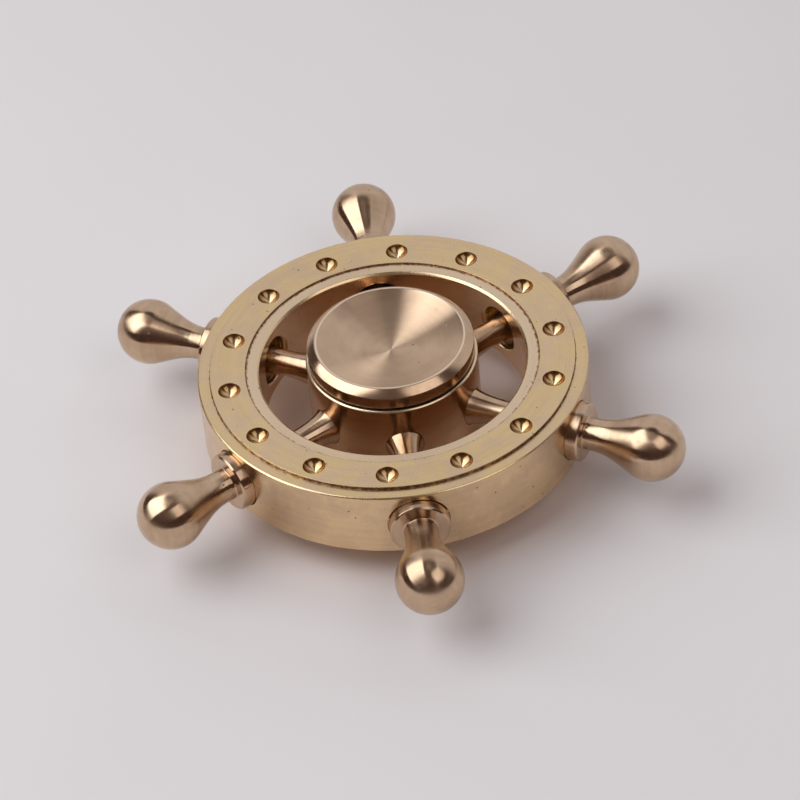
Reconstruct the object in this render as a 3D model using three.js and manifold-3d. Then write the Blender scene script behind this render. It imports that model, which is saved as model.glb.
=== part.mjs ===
// A hand-spun desk top in the shape of a ship's wheel: a heavy turned rim and six ball-ended
// handles screwed to a hub, which turns on a small ball bearing held between two finger caps.
// Millimetres. Z is the spin axis and Z = 0 is the plane of the handles' axes.

import * as THREE from 'three';
import { mergeVertices } from 'three/addons/utils/BufferGeometryUtils.js';
import Module from 'manifold-3d';

const wasm = await Module();
wasm.setup();

// ---------- driving dimensions ----------

// Rim: a ring with a raised middle band on each face, between a lower outer and inner band.
const RIM_RADIUS = 22.5;
const RIM_BORE_RADIUS = 15.38;
const RIM_HEIGHT = 8.25;
const BAND_OUTER_RADIUS = 21.03;
const BAND_INNER_RADIUS = 16.95;
const BAND_RISE = 0.35;
const INNER_BAND_RISE = 0.12;
const RIM_BORE_CHAMFER = 0.25;
const RIM_EDGE_CHAMFER = 0.15;
const DIMPLE_COUNT = 14;
const DIMPLE_RADIUS = 1.26;
const DIMPLE_DEPTH = 1.1;
const DIMPLE_POINT_ANGLE = THREE.MathUtils.degToRad(38);
const DIMPLE_WALL_ANGLE = THREE.MathUtils.degToRad(72);
const DIMPLE_CIRCLE_RADIUS = 19.01;
const DIMPLE_PHASE = Math.PI / 3;

// Handles: each one is a single turning with a ball, neck, flange, screwed shank, spoke and stud.
// The spoke is slimmest at its waist and flares towards the hub and, less, towards the shank.
const HANDLE_COUNT = 6;
const BALL_RADIUS = 3.86;
const BALL_CENTRE = 31.55;
const BALL_BLEND_ANGLE = THREE.MathUtils.degToRad(66);
const NECK_RADIUS = 1.9;
const NECK_FILLET = 0.35;
const FLANGE_RADIUS = 3.42;
const FLANGE_FACE = 23.75;
const FLANGE_SEAT = 22.18;
const FLANGE_CHAMFER = 0.2;
const SEAT_RADIUS = 3.5;
const SHANK_RADIUS = 2.7;
const SHANK_LENGTH = 4;
const SPOKE_WAIST_RADIUS = 1.5;
const SPOKE_FLARE_RADIUS = 2.2;
const SPOKE_FLARE_LENGTH = 4.3;
const SPOKE_FLARE_ANGLE = THREE.MathUtils.degToRad(25);
const SPOKE_ROOT_RADIUS = 2.2;
const SPOKE_SEAT = 9.58;
const SPOKE_SEAT_RADIUS = 2.26;
const STUD_RADIUS = 1.25;
const STUD_LENGTH = 2.2;

// Hub: carries the bearing between a shoulder below and its open bore above.
const HUB_RADIUS = 9.89;
const HUB_HEIGHT = 10.86;
const HUB_CHAMFER = 0.15;
const SHOULDER_RADIUS = 5.7;

// Bearing: 12.7 x 6.35 x 4.76 mm, ten 1/16 inch balls.
const BEARING_RADIUS = 6.35;
const BEARING_BORE_RADIUS = 3.175;
const BEARING_HEIGHT = 4.76;
const BALL_PITCH_RADIUS = 4.7625;
const BEARING_BALL_RADIUS = 0.794;
const BEARING_BALL_COUNT = 10;
const GROOVE_RADIUS = 0.84;
const INNER_LAND_RADIUS = 4.05;
const OUTER_LAND_RADIUS = 5.47;
const SHIELD_RECESS_RADIUS = 5.75;
const SHIELD_BORE_RADIUS = 4.25;
const SHIELD_SEAT = 1.93;
const SHIELD_THICKNESS = 0.18;
const SNAP_RING_INNER_RADIUS = 5.4;
const SNAP_RING_THICKNESS = 0.16;
const SNAP_RING_GAP_ANGLE = 0.35;
const CAGE_INNER_RADIUS = 4.35;
const CAGE_OUTER_RADIUS = 5.2;
const CAGE_HEIGHT = 2.4;
const CAGE_POCKET_RADIUS = 0.88;

// Finger caps: dished buttons whose posts meet inside the bearing's inner race.
const CAP_RADIUS = 9.59;
const CAP_TOP = 7.92;
const CAP_CHAMFER_BASE = 7.18;
const CAP_UNDERSIDE = 5.7;
const CAP_LAND_OUTER_RADIUS = 8.73;
const CAP_LAND_INNER_RADIUS = 8.45;
const DISH_DEPTH = 1.87;
const BOSS_RADIUS = 3.9;
const SLEEVE_RADIUS = 3.13;
const SLEEVE_TOP = 2.25;
const CAP_STUD_RADIUS = 2;
const CAP_STUD_END = -2.6;
const CAP_SOCKET_END = -3.1;

const CLEARANCE = 0.03;
const THREAD_CLEARANCE = 0.05;

// Facets around each kind of turned piece.
const RIM_FACETS = 48;
const HUB_FACETS = 36;
const CAP_FACETS = 32;
const BEARING_FACETS = 30;
const HANDLE_FACETS = 12;
const HOLE_FACETS = 12;
const DIMPLE_FACETS = 8;
const DIMPLE_STEPS = 4;

// ---------- materials ----------

const yellowBrass = new THREE.MeshStandardMaterial({ color: 0xc4aa80, roughness: 0.38, metalness: 1 });
const rosyBrass = new THREE.MeshStandardMaterial({ color: 0xac9478, roughness: 0.28, metalness: 1 });
const bearingSteel = new THREE.MeshStandardMaterial({ color: 0xb9bcc0, roughness: 0.2, metalness: 1 });
const nylon = new THREE.MeshStandardMaterial({ color: 0xe6dfcc, roughness: 0.6, metalness: 0 });

// ---------- shape helpers ----------

// A solid of revolution about Z from [radius, height] points that run upwards on the outside.
function turned(points, facets) {
  const profile = points.map(([radius, height]) => new THREE.Vector2(radius, height));
  const geometry = new THREE.LatheGeometry(profile, facets);
  geometry.rotateX(Math.PI / 2);
  return geometry;
}

// The same, for a profile that closes on itself.
function turnedRing(points, facets) {
  return turned([...points, points[0]], facets);
}

// Mirrors the top half of a ring's profile below Z = 0, and joins the two.
function mirrored(topHalf) {
  const bottomHalf = topHalf.map(([radius, height]) => [radius, -height]).reverse();
  return [...bottomHalf, ...topHalf];
}

// Points of an arc in the profile plane, from one angle to another.
function arc(centreRadius, centreHeight, radius, start, end, steps) {
  const points = [];
  for (let step = 0; step <= steps; step += 1) {
    const angle = start + ((end - start) * step) / steps;
    points.push([centreRadius + radius * Math.cos(angle), centreHeight + radius * Math.sin(angle)]);
  }
  return points;
}

// Points of a cubic Bezier curve in the profile plane.
function bezier(start, startPull, endPull, end, steps) {
  const corners = [start, startPull, endPull, end].map(([x, y]) => new THREE.Vector2(x, y));
  return new THREE.CubicBezierCurve(...corners).getPoints(steps).map((point) => [point.x, point.y]);
}

// A round bar along +X between two distances from the spin axis, with a radius at each end.
function radialBar(start, end, startRadius, endRadius, facets) {
  const geometry = new THREE.CylinderGeometry(startRadius, endRadius, end - start, facets);
  geometry.rotateZ(Math.PI / 2);
  geometry.translate((start + end) / 2, 0, 0);
  return geometry;
}

// The same bar as a cutter: its flats, not its corners, lie on the stated radii, so a shaft clears them.
function radialHole(start, end, startRadius, endRadius, facets) {
  const spread = 1 / Math.cos(Math.PI / facets);
  return radialBar(start, end, startRadius * spread, endRadius * spread, facets);
}

// A closed geometry as a manifold solid, with its shared vertices merged.
function solid(geometry) {
  const bare = geometry.clone();
  bare.deleteAttribute('normal');
  bare.deleteAttribute('uv');
  const merged = mergeVertices(bare, 1e-5);
  const index = merged.index.array;
  const triangles = [];
  for (let i = 0; i < index.length; i += 3) {
    const [a, b, c] = index.slice(i, i + 3);
    if (a !== b && b !== c && c !== a) triangles.push(a, b, c);
  }
  return new wasm.Manifold(new wasm.Mesh({
    numProp: 3,
    vertProperties: new Float32Array(merged.attributes.position.array),
    triVerts: new Uint32Array(triangles),
  }));
}

// A manifold solid back as a geometry.
function geometryOf(manifold) {
  const { vertProperties, triVerts } = manifold.getMesh();
  const geometry = new THREE.BufferGeometry();
  geometry.setAttribute('position', new THREE.BufferAttribute(new Float32Array(vertProperties), 3));
  geometry.setIndex(new THREE.BufferAttribute(new Uint32Array(triVerts), 1));
  geometry.computeVertexNormals();
  return geometry;
}

// Cuts a list of geometries out of a body.
function cut(body, cutters) {
  return geometryOf(cutters.reduce((left, cutter) => left.subtract(solid(cutter)), solid(body)));
}

// Copies of a geometry spread evenly about Z.
function aroundZ(geometry, count, phase = 0) {
  return Array.from({ length: count }, (_, place) => (
    geometry.clone().rotateZ(phase + (place * 2 * Math.PI) / count)
  ));
}

function piece(name, geometry, material) {
  const mesh = new THREE.Mesh(geometry, material);
  mesh.name = name;
  return mesh;
}

// ---------- rim ----------

// Dimples cut into both raised bands: cone-shaped at the bottom and steep at the lip.
function dimpleCutters(bandHeight) {
  const bottom = bandHeight - DIMPLE_DEPTH;
  const pull = DIMPLE_DEPTH / 2;
  const wall = bezier(
    [0, bottom],
    [pull * Math.cos(DIMPLE_POINT_ANGLE), bottom + pull * Math.sin(DIMPLE_POINT_ANGLE)],
    [DIMPLE_RADIUS - pull * Math.cos(DIMPLE_WALL_ANGLE), bandHeight - pull * Math.sin(DIMPLE_WALL_ANGLE)],
    [DIMPLE_RADIUS, bandHeight],
    DIMPLE_STEPS,
  );
  const above = bandHeight + 1;
  const cutter = turned([...wall, [DIMPLE_RADIUS, above], [0, above]], DIMPLE_FACETS);
  cutter.translate(DIMPLE_CIRCLE_RADIUS, 0, 0);
  const below = cutter.clone().rotateX(Math.PI);
  return [
    ...aroundZ(cutter, DIMPLE_COUNT, DIMPLE_PHASE),
    ...aroundZ(below, DIMPLE_COUNT, DIMPLE_PHASE),
  ];
}

// One radial hole: a spot face for the flange, the screwed hole, and a chamfer where it meets the bore.
function rimHoleCutters() {
  const holeRadius = SHANK_RADIUS + THREAD_CLEARANCE;
  const chamfer = 0.3;
  const innerMouth = Math.sqrt(RIM_BORE_RADIUS ** 2 - holeRadius ** 2);
  return [
    radialHole(innerMouth - 2, FLANGE_SEAT + 1, holeRadius, holeRadius, HOLE_FACETS),
    radialHole(FLANGE_SEAT, RIM_RADIUS + 1, SEAT_RADIUS, SEAT_RADIUS, HOLE_FACETS),
    radialHole(innerMouth - 1, innerMouth + chamfer, holeRadius + chamfer + 1, holeRadius, HOLE_FACETS),
  ];
}

function rim() {
  const face = RIM_HEIGHT / 2;
  const band = face + BAND_RISE;
  const innerBand = face + INNER_BAND_RISE;
  const topHalf = [
    [RIM_RADIUS, face - RIM_EDGE_CHAMFER],
    [RIM_RADIUS - RIM_EDGE_CHAMFER, face],
    [BAND_OUTER_RADIUS, face],
    [BAND_OUTER_RADIUS, band],
    [BAND_INNER_RADIUS, band],
    [BAND_INNER_RADIUS, innerBand],
    [RIM_BORE_RADIUS + RIM_BORE_CHAMFER, innerBand],
    [RIM_BORE_RADIUS, innerBand - RIM_BORE_CHAMFER],
  ];
  const ring = turnedRing(mirrored(topHalf), RIM_FACETS);
  const holes = rimHoleCutters().flatMap((cutter) => aroundZ(cutter, HANDLE_COUNT));
  return piece('rim', cut(ring, [...holes, ...dimpleCutters(band)]), yellowBrass);
}

// ---------- hub ----------

function hub() {
  const top = HUB_HEIGHT / 2;
  const seatRadius = BEARING_RADIUS + CLEARANCE;
  const shoulder = -BEARING_HEIGHT / 2 - CLEARANCE;
  const ring = turnedRing([
    [SHOULDER_RADIUS, -top],
    [HUB_RADIUS - HUB_CHAMFER, -top],
    [HUB_RADIUS, -top + HUB_CHAMFER],
    [HUB_RADIUS, top - HUB_CHAMFER],
    [HUB_RADIUS - HUB_CHAMFER, top],
    [seatRadius + HUB_CHAMFER, top],
    [seatRadius, top - HUB_CHAMFER],
    [seatRadius, shoulder],
    [SHOULDER_RADIUS, shoulder],
  ], HUB_FACETS);
  const socketRadius = STUD_RADIUS + THREAD_CLEARANCE;
  const socketEnd = SPOKE_SEAT - STUD_LENGTH - 2 * THREAD_CLEARANCE;
  const sockets = aroundZ(
    radialHole(socketEnd, HUB_RADIUS + 1, socketRadius, socketRadius, HOLE_FACETS),
    HANDLE_COUNT,
  );
  const seats = aroundZ(
    radialHole(SPOKE_SEAT, HUB_RADIUS + 1, SPOKE_SEAT_RADIUS, SPOKE_SEAT_RADIUS, HOLE_FACETS),
    HANDLE_COUNT,
  );
  return piece('hub', cut(ring, [...sockets, ...seats]), yellowBrass);
}

// ---------- handles ----------

// Half outline of a handle as [distance from the spin axis, radius], from its stud to its ball.
function handleOutline() {
  const spokeEnd = SPOKE_SEAT + CLEARANCE;
  const flangeBack = FLANGE_SEAT + CLEARANCE;
  const flareDirection = [Math.cos(SPOKE_FLARE_ANGLE), -Math.sin(SPOKE_FLARE_ANGLE)];
  const flareEnd = spokeEnd + SPOKE_FLARE_LENGTH;
  const flare = bezier(
    [spokeEnd, SPOKE_FLARE_RADIUS],
    [spokeEnd + 1.2 * flareDirection[0], SPOKE_FLARE_RADIUS + 1.2 * flareDirection[1]],
    [flareEnd - 1.3, SPOKE_WAIST_RADIUS],
    [flareEnd, SPOKE_WAIST_RADIUS],
    4,
  );
  const shankStart = flangeBack - SHANK_LENGTH;
  const root = bezier(
    [flareEnd, SPOKE_WAIST_RADIUS],
    [flareEnd + 1.1, SPOKE_WAIST_RADIUS],
    [shankStart - 1, SPOKE_ROOT_RADIUS - 0.35],
    [shankStart, SPOKE_ROOT_RADIUS],
    4,
  ).slice(1);
  const blend = [
    BALL_CENTRE - BALL_RADIUS * Math.cos(BALL_BLEND_ANGLE),
    BALL_RADIUS * Math.sin(BALL_BLEND_ANGLE),
  ];
  const neckStart = FLANGE_FACE + NECK_FILLET;
  const neckPull = 2.3;
  const ballPull = 3.4;
  const neck = bezier(
    [neckStart, NECK_RADIUS],
    [neckStart + neckPull, NECK_RADIUS],
    [blend[0] - ballPull * Math.sin(BALL_BLEND_ANGLE), blend[1] - ballPull * Math.cos(BALL_BLEND_ANGLE)],
    blend,
    5,
  );
  const ball = arc(BALL_CENTRE, 0, BALL_RADIUS, Math.PI - BALL_BLEND_ANGLE, 0, 8).slice(1, -1);
  return [
    [spokeEnd - STUD_LENGTH, 0],
    [spokeEnd - STUD_LENGTH, STUD_RADIUS],
    [spokeEnd, STUD_RADIUS],
    ...flare,
    ...root,
    [shankStart, SHANK_RADIUS],
    [flangeBack, SHANK_RADIUS],
    [flangeBack, FLANGE_RADIUS],
    [FLANGE_FACE - FLANGE_CHAMFER, FLANGE_RADIUS],
    [FLANGE_FACE, FLANGE_RADIUS - FLANGE_CHAMFER],
    [FLANGE_FACE, NECK_RADIUS + NECK_FILLET],
    ...neck,
    ...ball,
    [BALL_CENTRE + BALL_RADIUS, 0],
  ];
}

function handles() {
  const profile = handleOutline().map(([distance, radius]) => [radius, distance]);
  const geometry = turned(profile, HANDLE_FACETS);
  geometry.rotateY(Math.PI / 2);
  const ring = new THREE.Group();
  for (let place = 0; place < HANDLE_COUNT; place += 1) {
    const handle = piece(`handle_spoke_${place + 1}`, geometry, rosyBrass);
    handle.rotation.z = (place * 2 * Math.PI) / HANDLE_COUNT;
    ring.add(handle);
  }
  return ring;
}

// ---------- bearing ----------

// The ball track in a race's wall: it opens outwards in the inner race and inwards in the outer one.
function track(landRadius, middleAngle) {
  const halfAngle = Math.acos(Math.abs(landRadius - BALL_PITCH_RADIUS) / GROOVE_RADIUS);
  return arc(BALL_PITCH_RADIUS, 0, GROOVE_RADIUS, middleAngle + halfAngle, middleAngle - halfAngle, 4);
}

function innerRace() {
  const face = BEARING_HEIGHT / 2;
  return piece('bearing_inner_race', turnedRing([
    [BEARING_BORE_RADIUS, -face],
    [INNER_LAND_RADIUS, -face],
    ...track(INNER_LAND_RADIUS, Math.PI),
    [INNER_LAND_RADIUS, face],
    [BEARING_BORE_RADIUS, face],
  ], BEARING_FACETS), bearingSteel);
}

function outerRace() {
  const face = BEARING_HEIGHT / 2;
  return piece('bearing_outer_race', turnedRing([
    [SHIELD_RECESS_RADIUS, -face],
    [BEARING_RADIUS, -face],
    [BEARING_RADIUS, face],
    [SHIELD_RECESS_RADIUS, face],
    [SHIELD_RECESS_RADIUS, SHIELD_SEAT],
    [OUTER_LAND_RADIUS, SHIELD_SEAT],
    ...track(OUTER_LAND_RADIUS, 0),
    [OUTER_LAND_RADIUS, -SHIELD_SEAT],
    [SHIELD_RECESS_RADIUS, -SHIELD_SEAT],
  ], BEARING_FACETS), bearingSteel);
}

// A thin washer in the outer race's recess, one above the balls and one below.
function shield(name, side) {
  const inside = SHIELD_SEAT + CLEARANCE;
  const outside = inside + SHIELD_THICKNESS;
  const low = side > 0 ? inside : -outside;
  const rimRadius = SHIELD_RECESS_RADIUS - CLEARANCE;
  return piece(name, turnedRing([
    [SHIELD_BORE_RADIUS, low],
    [rimRadius, low],
    [rimRadius, low + SHIELD_THICKNESS],
    [SHIELD_BORE_RADIUS, low + SHIELD_THICKNESS],
  ], BEARING_FACETS), bearingSteel);
}

// A flat split ring that keeps a shield in its recess.
function snapRing(name, side) {
  const inside = SHIELD_SEAT + SHIELD_THICKNESS + 2 * CLEARANCE;
  const outerRadius = SHIELD_RECESS_RADIUS - 2 * CLEARANCE;
  const start = SNAP_RING_GAP_ANGLE / 2;
  const end = 2 * Math.PI - start;
  const outline = new THREE.Shape();
  outline.absarc(0, 0, outerRadius, start, end, false);
  outline.absarc(0, 0, SNAP_RING_INNER_RADIUS, end, start, true);
  const settings = { depth: SNAP_RING_THICKNESS, bevelEnabled: false, curveSegments: BEARING_FACETS / 2 };
  const geometry = new THREE.ExtrudeGeometry(outline, settings);
  geometry.translate(0, 0, inside);
  if (side < 0) geometry.rotateX(Math.PI);
  return piece(name, geometry, bearingSteel);
}

// A ring with one round pocket for each ball.
function cage() {
  const half = CAGE_HEIGHT / 2;
  const ring = turnedRing([
    [CAGE_INNER_RADIUS, -half],
    [CAGE_OUTER_RADIUS, -half],
    [CAGE_OUTER_RADIUS, half],
    [CAGE_INNER_RADIUS, half],
  ], 2 * BEARING_BALL_COUNT);
  const pocket = radialHole(
    CAGE_INNER_RADIUS - 1,
    CAGE_OUTER_RADIUS + 1,
    CAGE_POCKET_RADIUS,
    CAGE_POCKET_RADIUS,
    HOLE_FACETS,
  );
  return piece('bearing_cage', cut(ring, aroundZ(pocket, BEARING_BALL_COUNT)), nylon);
}

function bearingBalls() {
  const geometry = new THREE.IcosahedronGeometry(BEARING_BALL_RADIUS, 1);
  const ring = new THREE.Group();
  for (let place = 0; place < BEARING_BALL_COUNT; place += 1) {
    const angle = (place * 2 * Math.PI) / BEARING_BALL_COUNT;
    const number = String(place + 1).padStart(2, '0');
    const ball = piece(`bearing_ball_${number}`, geometry, bearingSteel);
    ball.position.set(BALL_PITCH_RADIUS * Math.cos(angle), BALL_PITCH_RADIUS * Math.sin(angle), 0);
    ring.add(ball);
  }
  return ring;
}

// ---------- finger caps ----------

// The dished button from the centre of its face to its underside, above Z = 0.
function capFace() {
  const sphereRadius = (CAP_LAND_INNER_RADIUS ** 2 + DISH_DEPTH ** 2) / (2 * DISH_DEPTH);
  const sphereCentre = CAP_TOP - DISH_DEPTH + sphereRadius;
  const edgeAngle = Math.asin(CAP_LAND_INNER_RADIUS / sphereRadius);
  const dish = arc(0, sphereCentre, sphereRadius, -Math.PI / 2, -Math.PI / 2 + edgeAngle, 5).slice(1);
  const wallChamfer = 0.08;
  return [
    [0, CAP_TOP - DISH_DEPTH],
    ...dish,
    [CAP_LAND_OUTER_RADIUS, CAP_TOP],
    [CAP_RADIUS, CAP_CHAMFER_BASE],
    [CAP_RADIUS, CAP_UNDERSIDE + wallChamfer],
    [CAP_RADIUS - wallChamfer, CAP_UNDERSIDE],
    [BOSS_RADIUS, CAP_UNDERSIDE],
  ];
}

// The upper cap ends in a stud that screws into the lower cap's sleeve.
function topCap() {
  const bossEnd = BEARING_HEIGHT / 2 + CLEARANCE;
  return piece('top_cap', turned([
    [0, CAP_STUD_END],
    [CAP_STUD_RADIUS, CAP_STUD_END],
    [CAP_STUD_RADIUS, bossEnd],
    [BOSS_RADIUS, bossEnd],
    ...capFace().reverse(),
  ], CAP_FACETS), rosyBrass);
}

// The lower cap's sleeve fills the inner race's bore.
function bottomCap() {
  const bossEnd = -BEARING_HEIGHT / 2 - CLEARANCE;
  const socketRadius = CAP_STUD_RADIUS + THREAD_CLEARANCE;
  return piece('bottom_cap', turned([
    ...capFace().map(([radius, height]) => [radius, -height]),
    [BOSS_RADIUS, bossEnd],
    [SLEEVE_RADIUS, bossEnd],
    [SLEEVE_RADIUS, SLEEVE_TOP],
    [socketRadius, SLEEVE_TOP],
    [socketRadius, CAP_SOCKET_END],
    [0, CAP_SOCKET_END],
  ], CAP_FACETS), rosyBrass);
}

// ---------- assembly ----------

const spinner = new THREE.Group();
spinner.add(
  rim(),
  hub(),
  handles(),
  innerRace(),
  outerRace(),
  shield('upper_bearing_shield', 1),
  shield('lower_bearing_shield', -1),
  snapRing('upper_snap_ring', 1),
  snapRing('lower_snap_ring', -1),
  cage(),
  bearingBalls(),
  topCap(),
  bottomCap(),
);

export default spinner;
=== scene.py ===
"""A pocket spinner in the shape of a ship's wheel, in turned brass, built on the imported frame.

Shapes are worked out in millimetres and stored in metres. Z is the spin axis, and Z = 0 is the
plane of the handles' axes.
"""

from math import acos, asin, cos, pi, radians, sin, sqrt

import bmesh
import bpy
from mathutils import Matrix, Vector


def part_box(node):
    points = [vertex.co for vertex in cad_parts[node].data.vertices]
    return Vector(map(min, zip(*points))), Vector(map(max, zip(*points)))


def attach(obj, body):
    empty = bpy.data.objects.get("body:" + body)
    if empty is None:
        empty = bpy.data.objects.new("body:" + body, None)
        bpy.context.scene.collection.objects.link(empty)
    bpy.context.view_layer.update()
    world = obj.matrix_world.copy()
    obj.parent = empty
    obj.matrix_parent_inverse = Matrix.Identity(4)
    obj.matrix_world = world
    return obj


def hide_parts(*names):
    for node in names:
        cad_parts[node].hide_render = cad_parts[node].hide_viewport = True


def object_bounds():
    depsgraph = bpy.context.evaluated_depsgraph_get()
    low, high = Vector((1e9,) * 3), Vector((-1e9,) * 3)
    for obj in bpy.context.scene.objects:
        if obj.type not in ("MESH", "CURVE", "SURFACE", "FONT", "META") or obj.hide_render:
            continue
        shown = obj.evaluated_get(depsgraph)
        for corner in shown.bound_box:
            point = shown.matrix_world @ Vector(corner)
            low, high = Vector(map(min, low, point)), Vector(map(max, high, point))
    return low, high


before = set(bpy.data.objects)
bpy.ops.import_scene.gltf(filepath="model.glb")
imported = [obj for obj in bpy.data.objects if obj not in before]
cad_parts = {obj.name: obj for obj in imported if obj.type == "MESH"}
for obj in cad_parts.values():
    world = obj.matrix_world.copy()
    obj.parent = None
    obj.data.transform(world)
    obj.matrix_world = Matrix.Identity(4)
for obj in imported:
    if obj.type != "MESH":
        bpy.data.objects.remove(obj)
cad_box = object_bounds()

MM = 0.001
TAU = 2 * pi
ON_AXIS = 1e-6


def box_mm(node):
    low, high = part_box(node)
    return low / MM, high / MM


# ---------- sizes in millimetres ----------

HANDLE_COUNT = 6
DIMPLE_COUNT = 14
BEARING_BALL_COUNT = 10

# Rim: a raised band on each face, between a lower outer and inner band.
RIM_RADIUS, _, BAND_TOP = box_mm("rim")[1]
BAND_RISE = 0.35
RIM_FACE = BAND_TOP - BAND_RISE
INNER_BAND = RIM_FACE + 0.12
RIM_BORE_RADIUS = 15.38
BORE_CHAMFER = 0.25
RIM_EDGE_CHAMFER = 0.15
BAND_OUTER_RADIUS = 21.03
BAND_INNER_RADIUS = 16.95
DIMPLE_CIRCLE_RADIUS = 19.01
DIMPLE_RADIUS = 1.26
DIMPLE_DEPTH = 1.1
DIMPLE_POINT_ANGLE = radians(38)
DIMPLE_WALL_ANGLE = radians(72)
DIMPLE_LIP = 0.04
DIMPLE_PHASE = TAU / 6
DIMPLE_ZONE_MARGIN = 0.45

# Handles: one turning each, from the stud in the hub to the ball.
HANDLE_TIP = box_mm("handle_spoke_1")[1].x
BALL_RADIUS = 3.86
BALL_CENTRE = HANDLE_TIP - BALL_RADIUS
BALL_BLEND_ANGLE = radians(66)
NECK_RADIUS = 1.9
NECK_FILLET = 0.35
TOOL_RINGS = 5
TOOL_RING_PITCH = 0.34
TOOL_RING_DEPTH = 0.03
FLANGE_RADIUS = 3.42
FLANGE_FACE = 23.75
FLANGE_CHAMFER = 0.2
FLANGE_SEAT = 22.18
SEAT_RADIUS = 3.5
SEAT_LIP = 0.04
SHANK_RADIUS = 2.7
SHANK_END = FLANGE_SEAT - 3.97
SPOKE_WAIST_RADIUS = 1.5
SPOKE_FLARE_RADIUS = 2.2
SPOKE_FLARE_LENGTH = 4.3
SPOKE_FLARE_ANGLE = radians(25)
SPOKE_ROOT_RADIUS = 2.2
SPOKE_SEAT = 9.58
SPOKE_SEAT_RADIUS = SPOKE_FLARE_RADIUS + 0.01
SPOKE_SEAT_LIP = 0.02
STUD_RADIUS = 1.25
STUD_LENGTH = 2.2
RIM_HOLE_RADIUS = 2.75
RIM_MOUTH_CHAMFER = 0.3
THREAD_PITCH = 0.5
THREAD_DEPTH = 0.07
THREAD_STEPS = 8
CLEARANCE = 0.03
# A narrow ring of faces round each hole keeps its softened edge from shading the wall around it.
MOUTH_GUARD = 0.04
# How far an edge's outline runs on down the wall before the wall's own faces start.
WALL_OVERLAP = 0.06

# Hub.
HUB_RADIUS, _, HUB_TOP = box_mm("hub")[1]
HUB_BORE_RADIUS = 6.38
HUB_CHAMFER = 0.15
SHOULDER_RADIUS = 5.7
SHOULDER_HEIGHT = -2.41

# Bearing.
RACE_RADIUS, _, RACE_TOP = box_mm("bearing_outer_race")[1]
RACE_BORE_RADIUS = 3.175
BALL_PITCH_RADIUS = 4.7625
BEARING_BALL_RADIUS = 0.794
GROOVE_RADIUS = 0.84
INNER_LAND_RADIUS = 4.05
OUTER_LAND_RADIUS = 5.47
SHIELD_RECESS_RADIUS = 5.75
SHIELD_RECESS_BOTTOM = 1.93
SHIELD_BORE_RADIUS = 4.25
SHIELD_BOTTOM, SHIELD_TOP = 1.96, 2.14
SNAP_RING_RADII = (5.4, 5.69)
SNAP_RING_HEIGHTS = (2.17, 2.33)
SNAP_RING_GAP = 0.35
CAGE_RADII = (4.35, 5.2)
CAGE_TOP = box_mm("bearing_cage")[1].z
CAGE_POCKET_RADIUS = 0.88
CAGE_EDGE_BAND = 0.1

# Finger caps.
CAP_RADIUS, _, CAP_TOP = box_mm("top_cap")[1]
CAP_CHAMFER_BASE = 7.18
CAP_UNDERSIDE = 5.7
CAP_LAND_RADII = (8.45, 8.73)
DISH_DEPTH = 1.87
BOSS_RADIUS = 3.9
SLEEVE_RADIUS = 3.13
SLEEVE_TOP = 2.25
CAP_STUD_RADIUS = 2
CAP_STUD_END = -2.6
CAP_SOCKET_RADIUS = 2.05
CAP_SOCKET_END = -3.1

# Steps around each kind of piece. The rim's and hub's divide evenly between their holes.
RIM_STEPS = DIMPLE_COUNT * 21
HUB_STEPS = HANDLE_COUNT * 40
CAP_STEPS = 256
HANDLE_STEPS = 96
RACE_STEPS = 128
CAGE_STEPS = BEARING_BALL_COUNT * 12
BEARING_BALL_STEPS = 48


# ---------- outlines ----------

def rounded(corners, steps=3):
    """Points of an outline whose (radius, height, rounding) corners are rounded off."""
    points = []
    count = len(corners)
    for place, corner in enumerate(corners):
        here = Vector(corner[:2])
        rounding = corner[2] if len(corner) > 2 else 0
        if not rounding or place in (0, count - 1):
            points.append(here)
            continue
        sides = []
        for other in (corners[place - 1], corners[place + 1]):
            away = Vector(other[:2]) - here
            sides.append(here + away.normalized() * min(rounding, 0.45 * away.length))
        start, end = sides
        for step in range(steps + 1):
            share = step / steps
            points.append(start.lerp(here, share).lerp(here.lerp(end, share), share))
    return points


def sided(outline, side):
    """An outline as it is for side 1, and upside down for side -1."""
    return [Vector((radius, side * height)) for radius, height in outline]


def turns(count, start=0):
    """Angles spaced evenly round a circle."""
    return [start + TAU * place / count for place in range(count)]


def arc(centre, radius, start, end, steps):
    """Points of an arc about a (radius, height) centre."""
    points = []
    for step in range(steps + 1):
        angle = start + (end - start) * step / steps
        points.append(Vector(centre) + radius * Vector((cos(angle), sin(angle))))
    return points


def bezier(start, start_pull, end_pull, end, steps):
    """Points of a cubic Bezier curve."""
    corners = [Vector(corner) for corner in (start, start_pull, end_pull, end)]
    points = []
    for step in range(steps + 1):
        row = corners
        while len(row) > 1:
            row = [a.lerp(b, step / steps) for a, b in zip(row, row[1:])]
        points.append(row[0])
    return points


def new_object(name, data):
    obj = bpy.data.objects.new(name, data)
    bpy.context.scene.collection.objects.link(obj)
    return obj


# ---------- meshes ----------

# Places in a piece's list of materials.
TURNED, CUT, WALL = 0, 1, 2


class Axis:
    """A line that faces were turned or drilled about."""

    def __init__(self, origin, way):
        self.origin = Vector(origin)
        self.way = Vector(way)

    def around(self, point):
        """At a point: the way the tool ran, the distance from the axis and the distance along it."""
        reach = point - self.origin
        along = reach.dot(self.way)
        outward = reach - along * self.way
        return self.way.cross(outward), outward.length, along


SPIN_AXIS = Axis((0, 0, 0), (0, 0, 1))


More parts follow.
